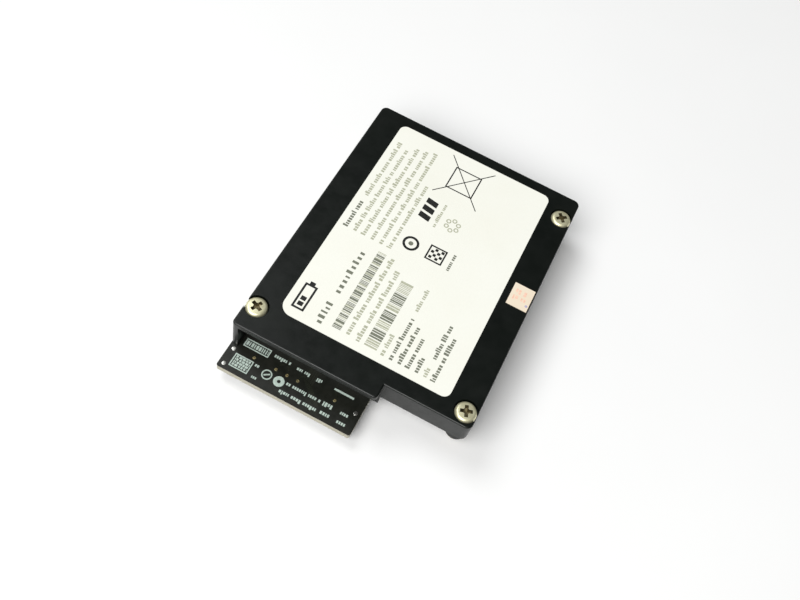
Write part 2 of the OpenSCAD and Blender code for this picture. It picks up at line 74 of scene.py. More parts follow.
class Paint:
    """A material with one Principled shader, and short calls for the nodes that feed it."""

    def __init__(self, name, **sockets):
        self.material = bpy.data.materials.new(name)
        self.material.use_nodes = True
        self.tree = self.material.node_tree
        self.shader = self.tree.nodes["Principled BSDF"]
        self.where = self.tree.nodes.new("ShaderNodeTexCoord").outputs["Object"]
        for socket, value in sockets.items():
            self.shader.inputs[socket.replace("_", " ")].default_value = value

    def node(self, kind, inputs=(), **settings):
        made = self.tree.nodes.new(kind)
        for key, value in settings.items():
            setattr(made, key, value)
        for key, value in dict(inputs).items():
            if isinstance(value, bpy.types.NodeSocket):
                self.tree.links.new(value, made.inputs[key])
            else:
                made.inputs[key].default_value = value
        return made

    def noise(self, size, detail=3.0, rough=0.5, stretch=None):
        """Noise with features about size millimetres across; stretch is a scale along x, y and z."""
        where = self.where
        if stretch:
            where = self.node("ShaderNodeMapping", {"Vector": where, "Scale": stretch}).outputs[0]
        made = self.node("ShaderNodeTexNoise", {
            "Vector": where, "Scale": 1 / (size * MM), "Detail": detail, "Roughness": rough})
        return made.outputs["Fac"]

    def cells(self, size):
        """Distance to the middle of the nearest cell, for cells about size millimetres across."""
        made = self.node("ShaderNodeTexVoronoi", {"Vector": self.where, "Scale": 1 / (size * MM)})
        return made.outputs["Distance"]

    def ramp(self, value, *stops):
        """Colour ramp; each stop is (place, colour or grey)."""
        made = self.node("ShaderNodeValToRGB", {"Fac": value})
        points = made.color_ramp.elements
        while len(points) < len(stops):
            points.new(0.5)
        for point, (place, colour) in zip(points, stops):
            point.position = place
            point.color = (*colour, 1) if isinstance(colour, tuple) else (colour, colour, colour, 1)
        return made.outputs["Color"]

    def span(self, value, low, high, start=0.0, end=1.0):
        """Maps start to low and end to high, and clamps beyond them."""
        made = self.node("ShaderNodeMapRange", {
            "Value": value, "From Min": start, "From Max": end, "To Min": low, "To Max": high})
        return made.outputs["Result"]

    def mix(self, share, first, second):
        made = self.node("ShaderNodeMix", data_type="RGBA")
        for key, value in (("Factor", share), ("A", first), ("B", second)):
            socket = next(s for s in made.inputs if s.name == key and s.enabled)
            if isinstance(value, bpy.types.NodeSocket):
                self.tree.links.new(value, socket)
            elif key == "Factor":
                socket.default_value = value
            else:
                socket.default_value = (*value, 1)
        return next(s for s in made.outputs if s.enabled)

    def flatness(self):
        """1 on faces that look straight up or down, 0 on walls."""
        normal = self.node("ShaderNodeNewGeometry").outputs["Normal"]
        z = self.node("ShaderNodeSeparateXYZ", {"Vector": normal}).outputs["Z"]
        size = self.node("ShaderNodeMath", {0: z}, operation="ABSOLUTE").outputs[0]
        return self.span(size, 0.0, 1.0, 0.4, 0.8)

    def colour(self, socket):
        self.tree.links.new(socket, self.shader.inputs["Base Color"])
        return self

    def rough(self, value, low, high):
        self.tree.links.new(self.span(value, low, high, 0.3, 0.7), self.shader.inputs["Roughness"])
        return self

    def bump(self, *layers):
        """Each layer is (height, depth in millimetres)."""
        last = None
        for height, depth in layers:
            inputs = {"Height": height, "Distance": depth * MM, "Strength": 1.0}
            if last:
                inputs["Normal"] = last
            last = self.node("ShaderNodeBump", inputs).outputs["Normal"]
        self.tree.links.new(last, self.shader.inputs["Normal"])
        return self


def moulded_plastic(name, dark, light, grain=0.22, depth=0.006, low=0.3, high=0.4):
    """Moulded plastic: spark-eroded grain, cloudy tone, faint rub marks."""
    p = Paint(name, Specular_IOR_Level=0.4)
    clouds = p.noise(9, detail=4)
    rubs = p.noise(1.2, detail=6, rough=0.7, stretch=(0.25, 2.2, 1))
    base = p.ramp(clouds, (0.3, dark), (0.75, light))
    scuffed = p.ramp(rubs, (0.66, 0.0), (0.8, 1.0))
    lighter = tuple(c * 1.8 for c in light)
    p.colour(p.mix(p.span(scuffed, 0.0, 0.3), base, lighter))
    sink_marks = p.noise(7, detail=2)
    p.rough(p.noise(2.5, detail=5), low, high)
    p.bump((p.noise(grain, detail=5, rough=0.65), depth), (sink_marks, 0.02))
    return p.material


def paper(name, light, shade):
    """Coated paper: warm and cool tone, fine fibres."""
    p = Paint(name, Specular_IOR_Level=0.35)
    tone = p.ramp(p.noise(14, detail=3), (0.3, light), (0.72, shade))
    flecks = p.noise(0.35, detail=5, rough=0.6, stretch=(1, 0.35, 1))
    fibres = p.noise(0.3, detail=5, rough=0.6, stretch=(1, 0.4, 1))
    waves = p.noise(6, detail=2)
    darker = tuple(c * 0.8 for c in shade)
    p.colour(p.mix(p.span(flecks, 0.0, 0.12, start=0.35, end=0.8), tone, darker))
    p.rough(p.noise(1.2, detail=5), 0.45, 0.6)
    p.bump((fibres, 0.0036), (waves, 0.02))
    return p.material


def ink(name, colour, low=0.35, high=0.55):
    """Printed ink, a little uneven."""
    p = Paint(name, Specular_IOR_Level=0.3)
    thin = tuple(min(1.0, c * 1.35 + 0.01) for c in colour)
    p.colour(p.ramp(p.noise(0.5, detail=4, rough=0.6), (0.35, colour), (0.75, thin)))
    p.rough(p.noise(0.6), low, high)
    p.bump((p.noise(0.12), 0.002))
    return p.material


def metal(name, light, dark, low=0.2, high=0.38, size=1.0, stretch=None, metallic=1.0):
    """Plated or drawn metal with tarnish in patches about size millimetres across."""
    p = Paint(name, Metallic=metallic)
    scratches = p.noise(0.15, detail=4, rough=0.6, stretch=stretch)
    p.colour(p.ramp(p.noise(size, 5, 0.6, stretch), (0.32, dark), (0.62, light)))
    p.rough(p.noise(size * 0.4, 5, 0.6, stretch), low, high)
    p.bump((scratches, 0.003))
    return p.material


def laminate(name, mask, mask_light, core):
    """Circuit board: solder mask on the faces, woven glass core at the cut edges."""
    p = Paint(name, Specular_IOR_Level=0.45)
    weave = p.noise(0.5, detail=2, stretch=(3, 0.6, 1))
    faces = p.mix(p.span(p.noise(3.0, detail=4), 0.0, 1.0, start=0.35, end=0.7), mask, mask_light)
    layers = p.noise(0.5, stretch=(0.15, 0.15, 5))
    edges = p.ramp(layers, (0.35, tuple(c * 0.55 for c in core)), (0.65, core))
    p.colour(p.mix(p.flatness(), edges, faces))
    p.rough(p.noise(0.8, detail=4), 0.28, 0.42)
    p.bump((weave, 0.004), (p.noise(2), 0.01))
    return p.material


def coated(name, dark, light, low=0.3, high=0.5, size=1.0, metallic=0.0, depth=0.004):
    """Small mouldings, ceramics and films: a cloudy colour with a fine surface."""
    p = Paint(name, Specular_IOR_Level=0.5, Metallic=metallic)
    p.colour(p.ramp(p.noise(size, detail=5, rough=0.6), (0.32, dark), (0.7, light)))
    p.rough(p.noise(size * 0.6, detail=4), low, high)
    p.bump((p.noise(size * 0.2, detail=4), depth))
    return p.material


def foam(name, dark, light):
    """Open-cell foam."""
    p = Paint(name, Roughness=0.95)
    cells = p.cells(0.35)
    p.colour(p.ramp(cells, (0.1, dark), (0.6, light)))
    p.bump((cells, 0.05), (p.noise(2), 0.05))
    return p.material


materials = {}


def finish(name, make, *colours, **look):
    materials[name] = make(name, *colours, **look)


finish("housing_plastic", moulded_plastic, (0.002, 0.0034, 0.0025), (0.0038, 0.0056, 0.0042))
finish("cover_plastic", moulded_plastic, (0.006, 0.0072, 0.0068), (0.011, 0.012, 0.0115),
       grain=0.3, depth=0.008, low=0.5, high=0.66)
finish("label_paper", paper, (0.895, 0.895, 0.825), (0.875, 0.872, 0.79))
finish("seal_paper", paper, (0.86, 0.77, 0.63), (0.84, 0.71, 0.55))
finish("screw_steel", metal, (0.88, 0.85, 0.59), (0.76, 0.72, 0.47),
       low=0.36, high=0.5, size=1.6, metallic=0.72)
# screw_recess is painted shade: a dark brown metal that stands in for the shade inside the cross recesses
finish("screw_recess", metal, (0.3, 0.26, 0.15), (0.12, 0.1, 0.06), low=0.45, high=0.6, size=0.6)
finish("standoff_brass", metal, (0.72, 0.66, 0.5), (0.4, 0.34, 0.22),
       low=0.25, high=0.42, size=0.8, stretch=(1, 1, 4))
finish("small_screw_steel", metal, (0.62, 0.62, 0.6), (0.36, 0.36, 0.35))
finish("board_laminate", laminate, (0.0075, 0.0085, 0.006), (0.014, 0.0145, 0.011), (0.5, 0.47, 0.36))
finish("masked_copper", laminate, (0.013, 0.015, 0.01), (0.022, 0.024, 0.016), (0.03, 0.034, 0.024))
finish("gold_plating", metal, (0.95, 0.8, 0.42), (0.75, 0.58, 0.26), low=0.3, high=0.45, size=0.4)
finish("solder", metal, (0.72, 0.72, 0.68), (0.46, 0.46, 0.42), low=0.22, high=0.4, size=0.4)
finish("connector_plastic", moulded_plastic, (0.007, 0.007, 0.0075), (0.013, 0.013, 0.0135),
       grain=0.12, depth=0.004, low=0.35, high=0.5)
finish("contact_metal", metal, (0.82, 0.66, 0.32), (0.5, 0.38, 0.16), low=0.2, high=0.36, size=0.4)
finish("cell_pouch", coated, (0.5, 0.52, 0.54), (0.66, 0.67, 0.7),
       low=0.25, high=0.4, size=4, metallic=0.9, depth=0.02)
finish("nickel", metal, (0.7, 0.69, 0.64), (0.48, 0.47, 0.43), low=0.25, high=0.4, size=0.6)
finish("foam", foam, (0.02, 0.02, 0.022), (0.06, 0.06, 0.065))
finish("tape", coated, (0.74, 0.74, 0.7), (0.84, 0.84, 0.8), low=0.4, high=0.6, size=2)
finish("green_laminate", laminate, (0.01, 0.07, 0.03), (0.02, 0.11, 0.05), (0.3, 0.29, 0.18))
finish("chip_epoxy", coated, (0.008, 0.008, 0.0085), (0.02, 0.02, 0.021), low=0.45, high=0.65, size=0.8)
finish("fuse_metal", metal, (0.74, 0.7, 0.56), (0.46, 0.42, 0.32), low=0.3, high=0.45, size=0.8)
finish("bead_epoxy", coated, (0.02, 0.008, 0.004), (0.05, 0.02, 0.01), low=0.2, high=0.35, size=0.6)
finish("red_insulation", coated, (0.42, 0.02, 0.012), (0.58, 0.035, 0.02), low=0.3, high=0.45, size=1.5)
finish("black_insulation", coated, (0.008, 0.008, 0.008), (0.02, 0.02, 0.02), low=0.3, high=0.45, size=1.5)
finish("white_insulation", coated, (0.66, 0.64, 0.58), (0.78, 0.76, 0.7), low=0.3, high=0.45, size=1.5)
finish("plug_nylon", coated, (0.7, 0.68, 0.58), (0.8, 0.78, 0.7), low=0.35, high=0.5, size=1.5)
finish("ferrite", coated, (0.03, 0.03, 0.032), (0.07, 0.07, 0.072), low=0.5, high=0.7, size=0.5)
finish("capacitor_ceramic", coated, (0.28, 0.18, 0.1), (0.4, 0.27, 0.16), low=0.35, high=0.5, size=0.6)
finish("resistor_body", coated, (0.01, 0.01, 0.012), (0.03, 0.03, 0.034), low=0.3, high=0.45, size=0.5)
finish("label_ink", ink, (0.012, 0.013, 0.012))
finish("mid_ink", ink, (0.16, 0.17, 0.13))
finish("grey_ink", ink, (0.4, 0.41, 0.31))
finish("red_ink", ink, (0.84, 0.52, 0.4))
finish("violet_ink", ink, (0.42, 0.38, 0.5))
finish("silk_ink", ink, (0.4, 0.48, 0.43), low=0.5, high=0.7)

for part in frame["record"]["subparts"]:
    mesh = nodes[part["node"]].data
    mesh.materials.clear()
    mesh.materials.append(materials[part["material_slot"]])


def add_piece(name, bm, material):
    """Turns a bmesh into an object of the part, and says what it rides on."""
    bmesh.ops.recalc_face_normals(bm, faces=bm.faces)
    mesh = bpy.data.meshes.new(name)
    bm.to_mesh(mesh)
    bm.free()
    mesh.materials.append(materials[material])
    made = bpy.data.objects.new(name, mesh)
    bpy.context.scene.collection.objects.link(made)
    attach(made, "root")
    return made


# ---------------------------------------------------------------- thin marks

# How far marks stand proud of their face and start below it, in millimetres
PRINT_HIGH, SILK_HIGH, COPPER_HIGH = 0.012, 0.03, 0.02
UNDER_COPPER_HIGH, UNDER_SILK_HIGH, UNDER_PAD_HIGH = 0.03, 0.04, 0.045
EJECTOR_HIGH = 0.03
MARK_SUNK = 0.01


class Marks:
    """Flat marks on a face: closed prisms that start just inside the face and stand a little proud.
    Places are in millimetres: u along, v across."""

    # Shares of a print line's height: block widths, block heights and the gap between words
    WIDTHS, TALLS, WORD_GAP = (0.3, 0.42, 0.42, 0.5), (0.68, 0.68, 0.68, 0.68, 1.0), 0.42

    def __init__(self, origin, along, across, out, high=PRINT_HIGH):
        self.origin, self.along, self.across = Vector(origin), Vector(along), Vector(across)
        self.out, self.high = Vector(out), high
        self.bm = bmesh.new()

    def spot(self, u, v, w):
        return self.origin + (self.along * u + self.across * v + self.out * w) * MM

    def shape(self, points):
        low = [self.bm.verts.new(self.spot(u, v, -MARK_SUNK)) for u, v in points]
        top = [self.bm.verts.new(self.spot(u, v, self.high)) for u, v in points]
        self.bm.faces.new(low)
        self.bm.faces.new(reversed(top))
        for i in range(len(points)):
            j = (i + 1) % len(points)
            self.bm.faces.new((low[j], low[i], top[i], top[j]))

    def bar(self, u0, u1, v0, v1):
        self.shape([(u0, v0), (u1, v0), (u1, v1), (u0, v1)])

    def disc(self, u, v, r, sides=20):
        self.shape([(u + r * math.cos(2 * math.pi * k / sides), v + r * math.sin(2 * math.pi * k / sides))
                    for k in range(sides)])

    def ring(self, u, v, r, width, steps=32):
        """Ring of joined quads; r is its inner radius."""
        rows = []
        for k in range(steps):
            a = math.radians(360 * k / steps)
            c, s = math.cos(a), math.sin(a)
            rows.append([self.bm.verts.new(self.spot(u + q * c, v + q * s, w))
                         for q, w in ((r, -MARK_SUNK), (r + width, -MARK_SUNK),
                                      (r + width, self.high), (r, self.high))])
        for a, b in zip(rows, rows[1:] + rows[:1]):
            for i in range(4):
                j = (i + 1) % 4
                self.bm.faces.new((a[i], a[j], b[j], b[i]))

    def line(self, p, q, width):
        p, q = Vector(p), Vector(q)
        side = Vector((p.y - q.y, q.x - p.x)).normalized() * width / 2
        self.shape([tuple(p - side), tuple(q - side), tuple(q + side), tuple(p + side)])

    def path(self, points, width):
        """A ribbon along the points, with a round at each turn."""
        for p, q in zip(points, points[1:]):
            self.line(p, q, width)
        for u, v in points[1:-1]:
            self.disc(u, v, width / 2, 8)

    def frame(self, u0, u1, v0, v1, width):
        self.bar(u0, u1, v0, v0 + width)
        self.bar(u0, u1, v1 - width, v1)
        self.bar(u0, u0 + width, v0 + width, v1 - width)
        self.bar(u1 - width, u1, v0 + width, v1 - width)

    def words(self, u0, u1, v, high, seed, lengths=(2, 8), gap=0.17):
        """A line of blocks that reads as words from afar, with its middle at v. Lengths are the fewest and
        most blocks in a word, and gap is the space between blocks as a share of the height."""
        dice = random.Random(seed)
        u = u0
        while u < u1 - 0.3 * high:
            for _ in range(dice.randint(*lengths)):
                wide = high * dice.choice(self.WIDTHS)
                if u + wide > u1:
                    return
                tall = high * dice.choice(self.TALLS)
                self.bar(u, u + wide, v + high / 2 - tall, v + high / 2)
                u += wide + high * gap
            u += high * self.WORD_GAP

    def stripes(self, u0, u1, v0, v1, seed, thin, gap):
        """Bars of mixed width side by side; thin is the least width, gap the least and greatest space."""
        dice = random.Random(seed)
        u = u0
        while u < u1:
            wide = thin * dice.choice((1, 1, 2, 2, 3))
            self.bar(u, min(u + wide, u1), v0, v1)
            u += wide + dice.uniform(*gap)

    def object(self, name, material, slot):
        return add_piece(name, self.bm, material)


# ---------------------------------------------------------------- turned pieces

def solids(node):
    """(lowest, highest corner) of each separate solid of a CAD node, in the row frame."""
    mesh = nodes[node].data
    spots = {}
    parent = {}

    def find(a):
        while parent[a] != a:
            parent[a] = parent[parent[a]]
            a = parent[a]
        return a

    keys = []
    for v in mesh.vertices:
        key = tuple(round(c * 1e7) for c in v.co)
        keys.append(key)
        parent.setdefault(key, key)
        spots[key] = v.co
    for polygon in mesh.polygons:
        first = find(keys[polygon.vertices[0]])
        for i in polygon.vertices[1:]:
            parent[find(keys[i])] = first
    groups = {}
    for key, co in spots.items():
        groups.setdefault(find(key), []).append(co)
    boxes = [(Vector(map(min, zip(*g))), Vector(map(max, zip(*g)))) for g in groups.values()]
    return sorted(boxes, key=lambda b: (round(b[0].x, 5), round(b[0].y, 5)))


def lathe(bm, centre, rows, sides, closed=False):
    """Skin over rows of rings about a vertical axis. A row is (radius, height) in metres, or a function of
    the turn, from 0 to 1, that gives them. A closed skin joins its last row to its first."""
    rings = []
    for row in rows:
        ring = []
        for k in range(sides):
            turn = k / sides
            r, z = row(turn) if callable(row) else row
            a = 2 * math.pi * turn
            ring.append(bm.verts.new((centre.x + r * math.cos(a), centre.y + r * math.sin(a), z)))
        rings.append(ring)
    pairs = list(zip(rings, rings[1:])) + ([(rings[-1], rings[0])] if closed else [])
    for one, two in pairs:
        for k in range(sides):
            j = (k + 1) % sides
            bm.faces.new((one[k], one[j], two[j], two[k]))
    if not closed:
        for ring in (rings[0], rings[-1]):
            bm.faces.new(ring)


def thread_rows(z0, z1, crest, root, pitch):
    """Rows of a helical thread between two heights, six to a turn; crest and root are radii."""
    count = max(2, round(abs(z1 - z0) / pitch * 6))
    step = (z1 - z0) / count
    end = pitch * 0.8

    def row(z):
        def at(turn):
            phase = (z / pitch - turn) % 1
            tooth = 1 - abs(2 * phase - 1)
            fade = min(1.0, abs(z - z0) / end, abs(z - z1) / end)
            return root + (crest - root) * tooth * fade, z
        return at
    return [row(z0 + step * k) for k in range(count + 1)]


def add_smooth(name, bm, slot):
    """Adds a piece with its slot's own material, smooth except at sharp corners."""
    made = add_piece(name, bm, slot)
    mesh = made.data
    mesh.polygons.foreach_set("use_smooth", [True] * len(mesh.polygons))
    mesh.set_sharp_from_angle(angle=SMOOTH_ANGLE)
    return made


def cut(target, cutter):
    """Cuts one mesh out of another and deletes the cutter."""
    modifier = target.modifiers.new("cut", "BOOLEAN")
    modifier.operation, modifier.solver, modifier.object = "DIFFERENCE", "EXACT", cutter
    bpy.context.view_layer.update()
    made = target.evaluated_get(bpy.context.evaluated_depsgraph_get())
    mesh = bpy.data.meshes.new_from_object(made)
    target.modifiers.clear()
    target.data = mesh
    bpy.data.objects.remove(cutter)


def cross_cutter(centre, top, deep, reach, width, up, turn):
    """Tapered plus-shaped plug with relieved inner corners, for a cross recess."""
    bm = bmesh.new()
    levels = []
    for share, spread in ((-0.25, 1.08), (0.0, 1.0), (0.8, 0.8), (1.0, 0.5)):
        half = width / 2 * (1.0 - 0.25 * max(share, 0))
        inner = half * 1.5
        ring = []
        for quarter in range(4):
            a = math.radians(turn + 90 * quarter)
            c, s = math.cos(a), math.sin(a)
            for x, y in ((reach * spread, -half), (reach * spread, half), (inner, half), (half, inner)):
                ring.append(bm.verts.new((centre.x + x * c - y * s, centre.y + x * s + y * c,
                                          top - up * deep * share)))
        levels.append(ring)
    for one, two in zip(levels, levels[1:]):
        for k in range(len(one)):
            j = (k + 1) % len(one)
            bm.faces.new((one[k], one[j], two[j], two[k]))
    bm.faces.new(levels[0])
    bm.faces.new(levels[-1])
    bmesh.ops.recalc_face_normals(bm, faces=bm.faces)
    mesh = bpy.data.meshes.new("cutter")
    bm.to_mesh(mesh)
    bm.free()
    made = bpy.data.objects.new("cutter", mesh)
    bpy.context.scene.collection.objects.link(made)
    return made


def pan_screws(node, name, slot, head_high, shank_r, pitch, up, turns):
    """Pan-head screws with a cross recess and a helical thread, where the CAD node has them. Up is 1 for heads
    on top and -1 for heads below; turns are the angles of the recesses."""
    parts = []
    for (low, high), turn in zip(solids(node), turns):
        centre = (low + high) / 2
        r = (high.x - low.x) / 2
        top, tip = (high.z, low.z) if up > 0 else (low.z, high.z)
        seat = top - up * head_high
        bm = bmesh.new()
        rows = [(r * 0.02, top)]
        crown, edge, drop = 0.05 * head_high, r * 0.3, 0.55 * head_high
        for share in (0.2, 0.4, 0.56, 0.7):
            rows.append((r * share, top - up * crown * (share / 0.7) ** 2))
        for k in range(1, 9):
            a = math.radians(90 * k / 8)
            rows.append((r - edge + edge * math.sin(a), top - up * (crown + drop * (1 - math.cos(a)))))
        rows += [(r, seat + up * 0.06 * head_high), (r * 0.985, seat)]
        rows += [(shank_r * 0.9, seat), (shank_r * 0.86, seat - up * 0.3 * MM)]
        rows += thread_rows(seat - up * 0.35 * MM, tip + up * 0.25 * MM, shank_r * 0.995, shank_r * 0.82, pitch)
        rows += [(shank_r * 0.6, tip), (shank_r * 0.02, tip)]
        lathe(bm, centre, rows, 64)
        made = add_smooth(name, bm, slot)
        cut(made, cross_cutter(centre, top, head_high * 0.8, r * 0.57, r * 0.34, up, turn))
        parts.append((made, centre, r, top))
    bm = bmesh.new()
    for made, centre, r, top in parts:
        had = len(bm.faces)
        bm.from_mesh(made.data)
        bm.faces.ensure_lookup_table()
        for face in bm.faces[had:]:
            spot = face.calc_center_median()
            below = up * (top - spot.z)
            near_axis = (spot - centre).xy.length < r * 0.6
            # Faces down inside the recess take material 1, screw_recess, which paints the recess's shade
            face.material_index = int(near_axis and 0.07 * head_high < below < head_high)
        bpy.data.objects.remove(made)
    whole = add_smooth(name, bm, slot)
    whole.data.materials.append(materials["screw_recess"])
    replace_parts(whole, node)


pan_screws("housing_screws", "pan_screws", "screw_steel",
           head_high=1.6 * MM, shank_r=1.25 * MM, pitch=0.45 * MM, up=1, turns=(64, 20, 38))
pan_screws("board_screws", "board_pan_screws", "small_screw_steel",
           head_high=1.2 * MM, shank_r=1.0 * MM, pitch=0.4 * MM, up=-1, turns=(10, 52, 75))

# Standoffs: turned sleeves with a real thread in the free lower end
FREE_THREAD, CLEAR_BORE, BEVEL = 3.6 * MM, 1.3 * MM, 0.2 * MM
THREAD_CREST, THREAD_ROOT, THREAD_PITCH = 1.24 * MM, 1.03 * MM, 0.45 * MM
bm = bmesh.new()
for low, high in solids("threaded_standoffs"):
    r = (high.x - low.x) / 2
    free_top = low.z + FREE_THREAD
    rows = [(r - BEVEL, low.z), (r, low.z + BEVEL), (r, high.z - BEVEL), (r - BEVEL, high.z),
            (CLEAR_BORE, high.z), (CLEAR_BORE, free_top + 0.6 * MM), (THREAD_ROOT, free_top + 0.1 * MM)]
    rows += thread_rows(free_top, low.z + 0.3 * MM, THREAD_CREST, THREAD_ROOT, THREAD_PITCH)
    rows += [(CLEAR_BORE, low.z)]
    lathe(bm, (low + high) / 2, rows, 48, closed=True)
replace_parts(add_smooth("turned_standoffs", bm, "standoff_brass"), "threaded_standoffs")

# Vias: plated rings; pads: low domes of solder. Both start just inside the board.
SUNK, ROUND, ROUND_SIDES = 0.01 * MM, 0.015 * MM, 28
bm = bmesh.new()
for low, high in solids("tab_vias"):
    r = (high.x - low.x) / 2
    base, top = low.z - SUNK, high.z
    rows = [(r, base), (r, top - ROUND), (r * 0.85, top),
            (r * 0.4, top), (r * 0.3, top - ROUND), (r * 0.3, base)]
    lathe(bm, (low + high) / 2, rows, ROUND_SIDES, closed=True)
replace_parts(add_smooth("plated_vias", bm, "gold_plating"), "tab_vias")
bm = bmesh.new()
for low, high in solids("tab_pads"):
    r, tall = (high.x - low.x) / 2, high.z - low.z
    slopes = [math.radians(a) for a in range(0, 90, 15)]
    rows = [(r * math.cos(a), low.z + tall * math.sin(a)) for a in slopes]
    lathe(bm, (low + high) / 2, [(r, low.z - SUNK)] + rows + [(r * 0.05, high.z)], ROUND_SIDES)
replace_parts(add_smooth("solder_pads", bm, "solder"), "tab_pads")

# ---------------------------------------------------------------- print

# Print on the label: u runs from its front edge to the back, and lines follow each other to the right.
low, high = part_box("label")
at_label = dict(origin=(low.x, low.y, high.z), along=Y, across=X, out=Z)
dark, mid, grey = Marks(**at_label), Marks(**at_label), Marks(**at_label)

# Plain battery symbol in the corner: case, terminal, two charge bars
bar_step, bar_v0, bar_v1 = 1.5, 2.7, 4.0
dark.frame(2.4, 9.4, 1.8, 4.9, 0.5)
dark.bar(9.4, 10.2, bar_v0, bar_v1)
for k in range(2):
    dark.bar(3.4 + k * bar_step, 4.5 + k * bar_step, bar_v0, bar_v1)

# Heading line of two words
heading_v, heading_high = 8.9, 1.6
mid.words(1.8, 9.2, heading_v, heading_high, seed=3, lengths=(5, 5), gap=0.42)
mid.words(10.7, 24.6, heading_v, heading_high, seed=4, lengths=(9, 9), gap=0.5)

# Paragraph: a heavier first word, then lines that end unevenly
left_u, after_word_u, first_v, line_step = 27.6, 38.2, 2.1, 2.28
mid.words(left_u, 36.0, 2.0, 1.3, seed=5, lengths=(7, 7))
for k, end in enumerate((57.9, 57.0, 58.0, 59.0, 59.8, 48.8)):
    grey.words(left_u if k else after_word_u, end, first_v + k * line_step, 1.2, seed=10 + k)

# Two bands of stripes, each with lines of small print
upper, lower, group_step = (12.0, 14.1), (20.1, 23.2), 1.64
for k in range(14):
    start = 2.6 + k * group_step
    mid.stripes(start, start + (0.9 if k % 3 else 1.15), *upper, seed=100 + k, thin=0.2, gap=(0.1, 0.16))
    grey.stripes(start + 1.15, start + 1.6, *upper, seed=200 + k, thin=0.14, gap=(0.1, 0.2))
grey.words(2.6, 25.6, 15.7, 1.3, seed=22, lengths=(4, 9))
grey.words(2.2, 23.6, 18.3, 1.3, seed=23, lengths=(4, 9))
for start, end, marks in ((2.3, 4.4, grey), (4.7, 7.4, mid), (7.8, 9.6, grey), (9.9, 12.6, mid),
                          (13.0, 14.6, grey), (14.9, 18.0, mid), (18.3, 21.3, grey)):
    marks.stripes(start, end, *lower, seed=round(start * 10), thin=0.22, gap=(0.14, 0.24))

# Ratings block
first_v, line_step = 24.5, 2.08
for k, (start, end, marks) in enumerate(((1.9, 8.2, grey), (1.9, 13.8, mid), (2.0, 12.8, mid), (2.0, 11.3, mid),
                                         (2.1, 6.8, mid), (2.1, 5.2, grey), (2.0, 15.0, mid))):
    marks.words(start, end, first_v + k * line_step, 1.2, seed=31 + k)
grey.words(15.8, 22.4, 26.4, 1.1, seed=41)
mid.words(7.1, 16.8, 35.0, 1.2, seed=42)

# Square with a cross over it
dark.frame(51.4, 58.6, 17.4, 24.6, 0.32)
dark.line((48.6, 27.0), (61.6, 15.2), 0.24)
dark.line((48.6, 15.2), (61.6, 27.0), 0.24)
# Ring with a disc in it
dark.ring(31.6, 17.5, 1.42, 0.62)
mid.disc(31.6, 17.5, 0.6)
# Three slanted bars
bar_step, foot_v, top_v = 2.3, 18.4, 15.4
for k in range(3):
    dark.shape([(39.4 + k * bar_step, foot_v), (41.0 + k * bar_step, foot_v),
                (41.5 + k * bar_step, top_v), (39.9 + k * bar_step, top_v)])
grey.words(38.8, 46.4, 20.0, 0.9, seed=43)
# Circle of six small rings
for k in range(6):
    turn = math.radians(60 * k)
    grey.ring(41.6 + 1.5 * math.cos(turn), 23.9 + 1.5 * math.sin(turn), 0.35, 0.3, steps=12)
# Framed chequered square
check, check_step = 0.75, 0.8
dark.frame(29.7, 34.1, 21.8, 26.2, 0.4)
for i in range(4):
    for j in range(4):
        if (i + j) % 2 == 0:
            u, v = 30.4 + i * check_step, 22.5 + j * check_step
            dark.bar(u, u + check, v, v + check)
mid.words(29.4, 34.8, 27.9, 1.0, seed=44)
dark.object("label_print_dark", "label_ink", "label_paper")
mid.object("label_print_mid", "mid_ink", "label_paper")
grey.object("label_print_grey", "grey_ink", "label_paper")

# Faint marks on the seal
low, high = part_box("seal_sticker")
seal_face = dict(origin=(low.x, low.y, high.z), along=X, across=Y, out=Z)
marks, spot = Marks(**seal_face), Marks(**seal_face)
marks.words(0.9, 4.2, 4.3, 1.3, seed=51, lengths=(2, 2))
marks.words(0.8, 4.2, 2.4, 1.3, seed=52, lengths=(2, 2))
marks.object("seal_print", "red_ink", "seal_paper")
spot.disc(4.6, 1.5, 0.35)
spot.object("seal_spot", "violet_ink", "seal_paper")

# Silkscreen on the tab: x from the board's left edge, y back from the tab's front edge
board_low, board_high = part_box("main_board")
on_tab = dict(origin=(board_low.x, board_low.y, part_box("tab_pads")[0].z), along=X, across=Y, out=Z)
silk = Marks(**on_tab, high=SILK_HIGH)
# Framed field of stripes, with short words beside it
silk.frame(2.6, 8.9, 7.2, 9.3, 0.26)
silk.stripes(3.0, 8.5, 7.7, 8.8, seed=61, thin=0.26, gap=(0.16, 0.3))
silk.words(10.0, 14.4, 8.4, 0.95, seed=62)
silk.words(15.8, 19.8, 8.2, 0.9, seed=63, lengths=(3, 3))
silk.words(20.9, 22.4, 8.2, 0.9, seed=64, lengths=(3, 3))
silk.bar(25.4, 30.3, 8.0, 8.5)
# Framed field of short bars in four rows
row_step = 0.68
silk.frame(2.3, 6.9, 1.4, 4.8, 0.26)
for k in range(4):
    silk.stripes(2.8, 6.5, 1.85 + k * row_step, 2.4 + k * row_step, seed=65 + k, thin=0.24, gap=(0.1, 0.26))
silk.words(7.4, 8.5, 4.2, 0.9, seed=70)
silk.words(8.1, 9.5, 1.4, 0.8, seed=71)
# Two round marks
silk.ring(10.8, 3.6, 0.95, 0.28)
silk.line((10.2, 3.2), (11.4, 4.0), 0.34)
silk.ring(13.9, 3.5, 0.42, 0.86)
# Two lines of print along the tab's front edge
for start, end, v, line_high, seed in (
        (15.6, 24.2, 3.8, 0.95, 72), (24.8, 28.2, 3.9, 1.05, 73), (29.2, 31.4, 3.7, 0.95, 74),
        (15.0, 24.4, 1.5, 0.95, 75), (25.2, 28.6, 1.6, 1.05, 76), (29.4, 31.6, 1.5, 0.95, 77)):
    silk.words(start, end, v, line_high, seed)
silk.object("board_silk", "silk_ink", "board_laminate")

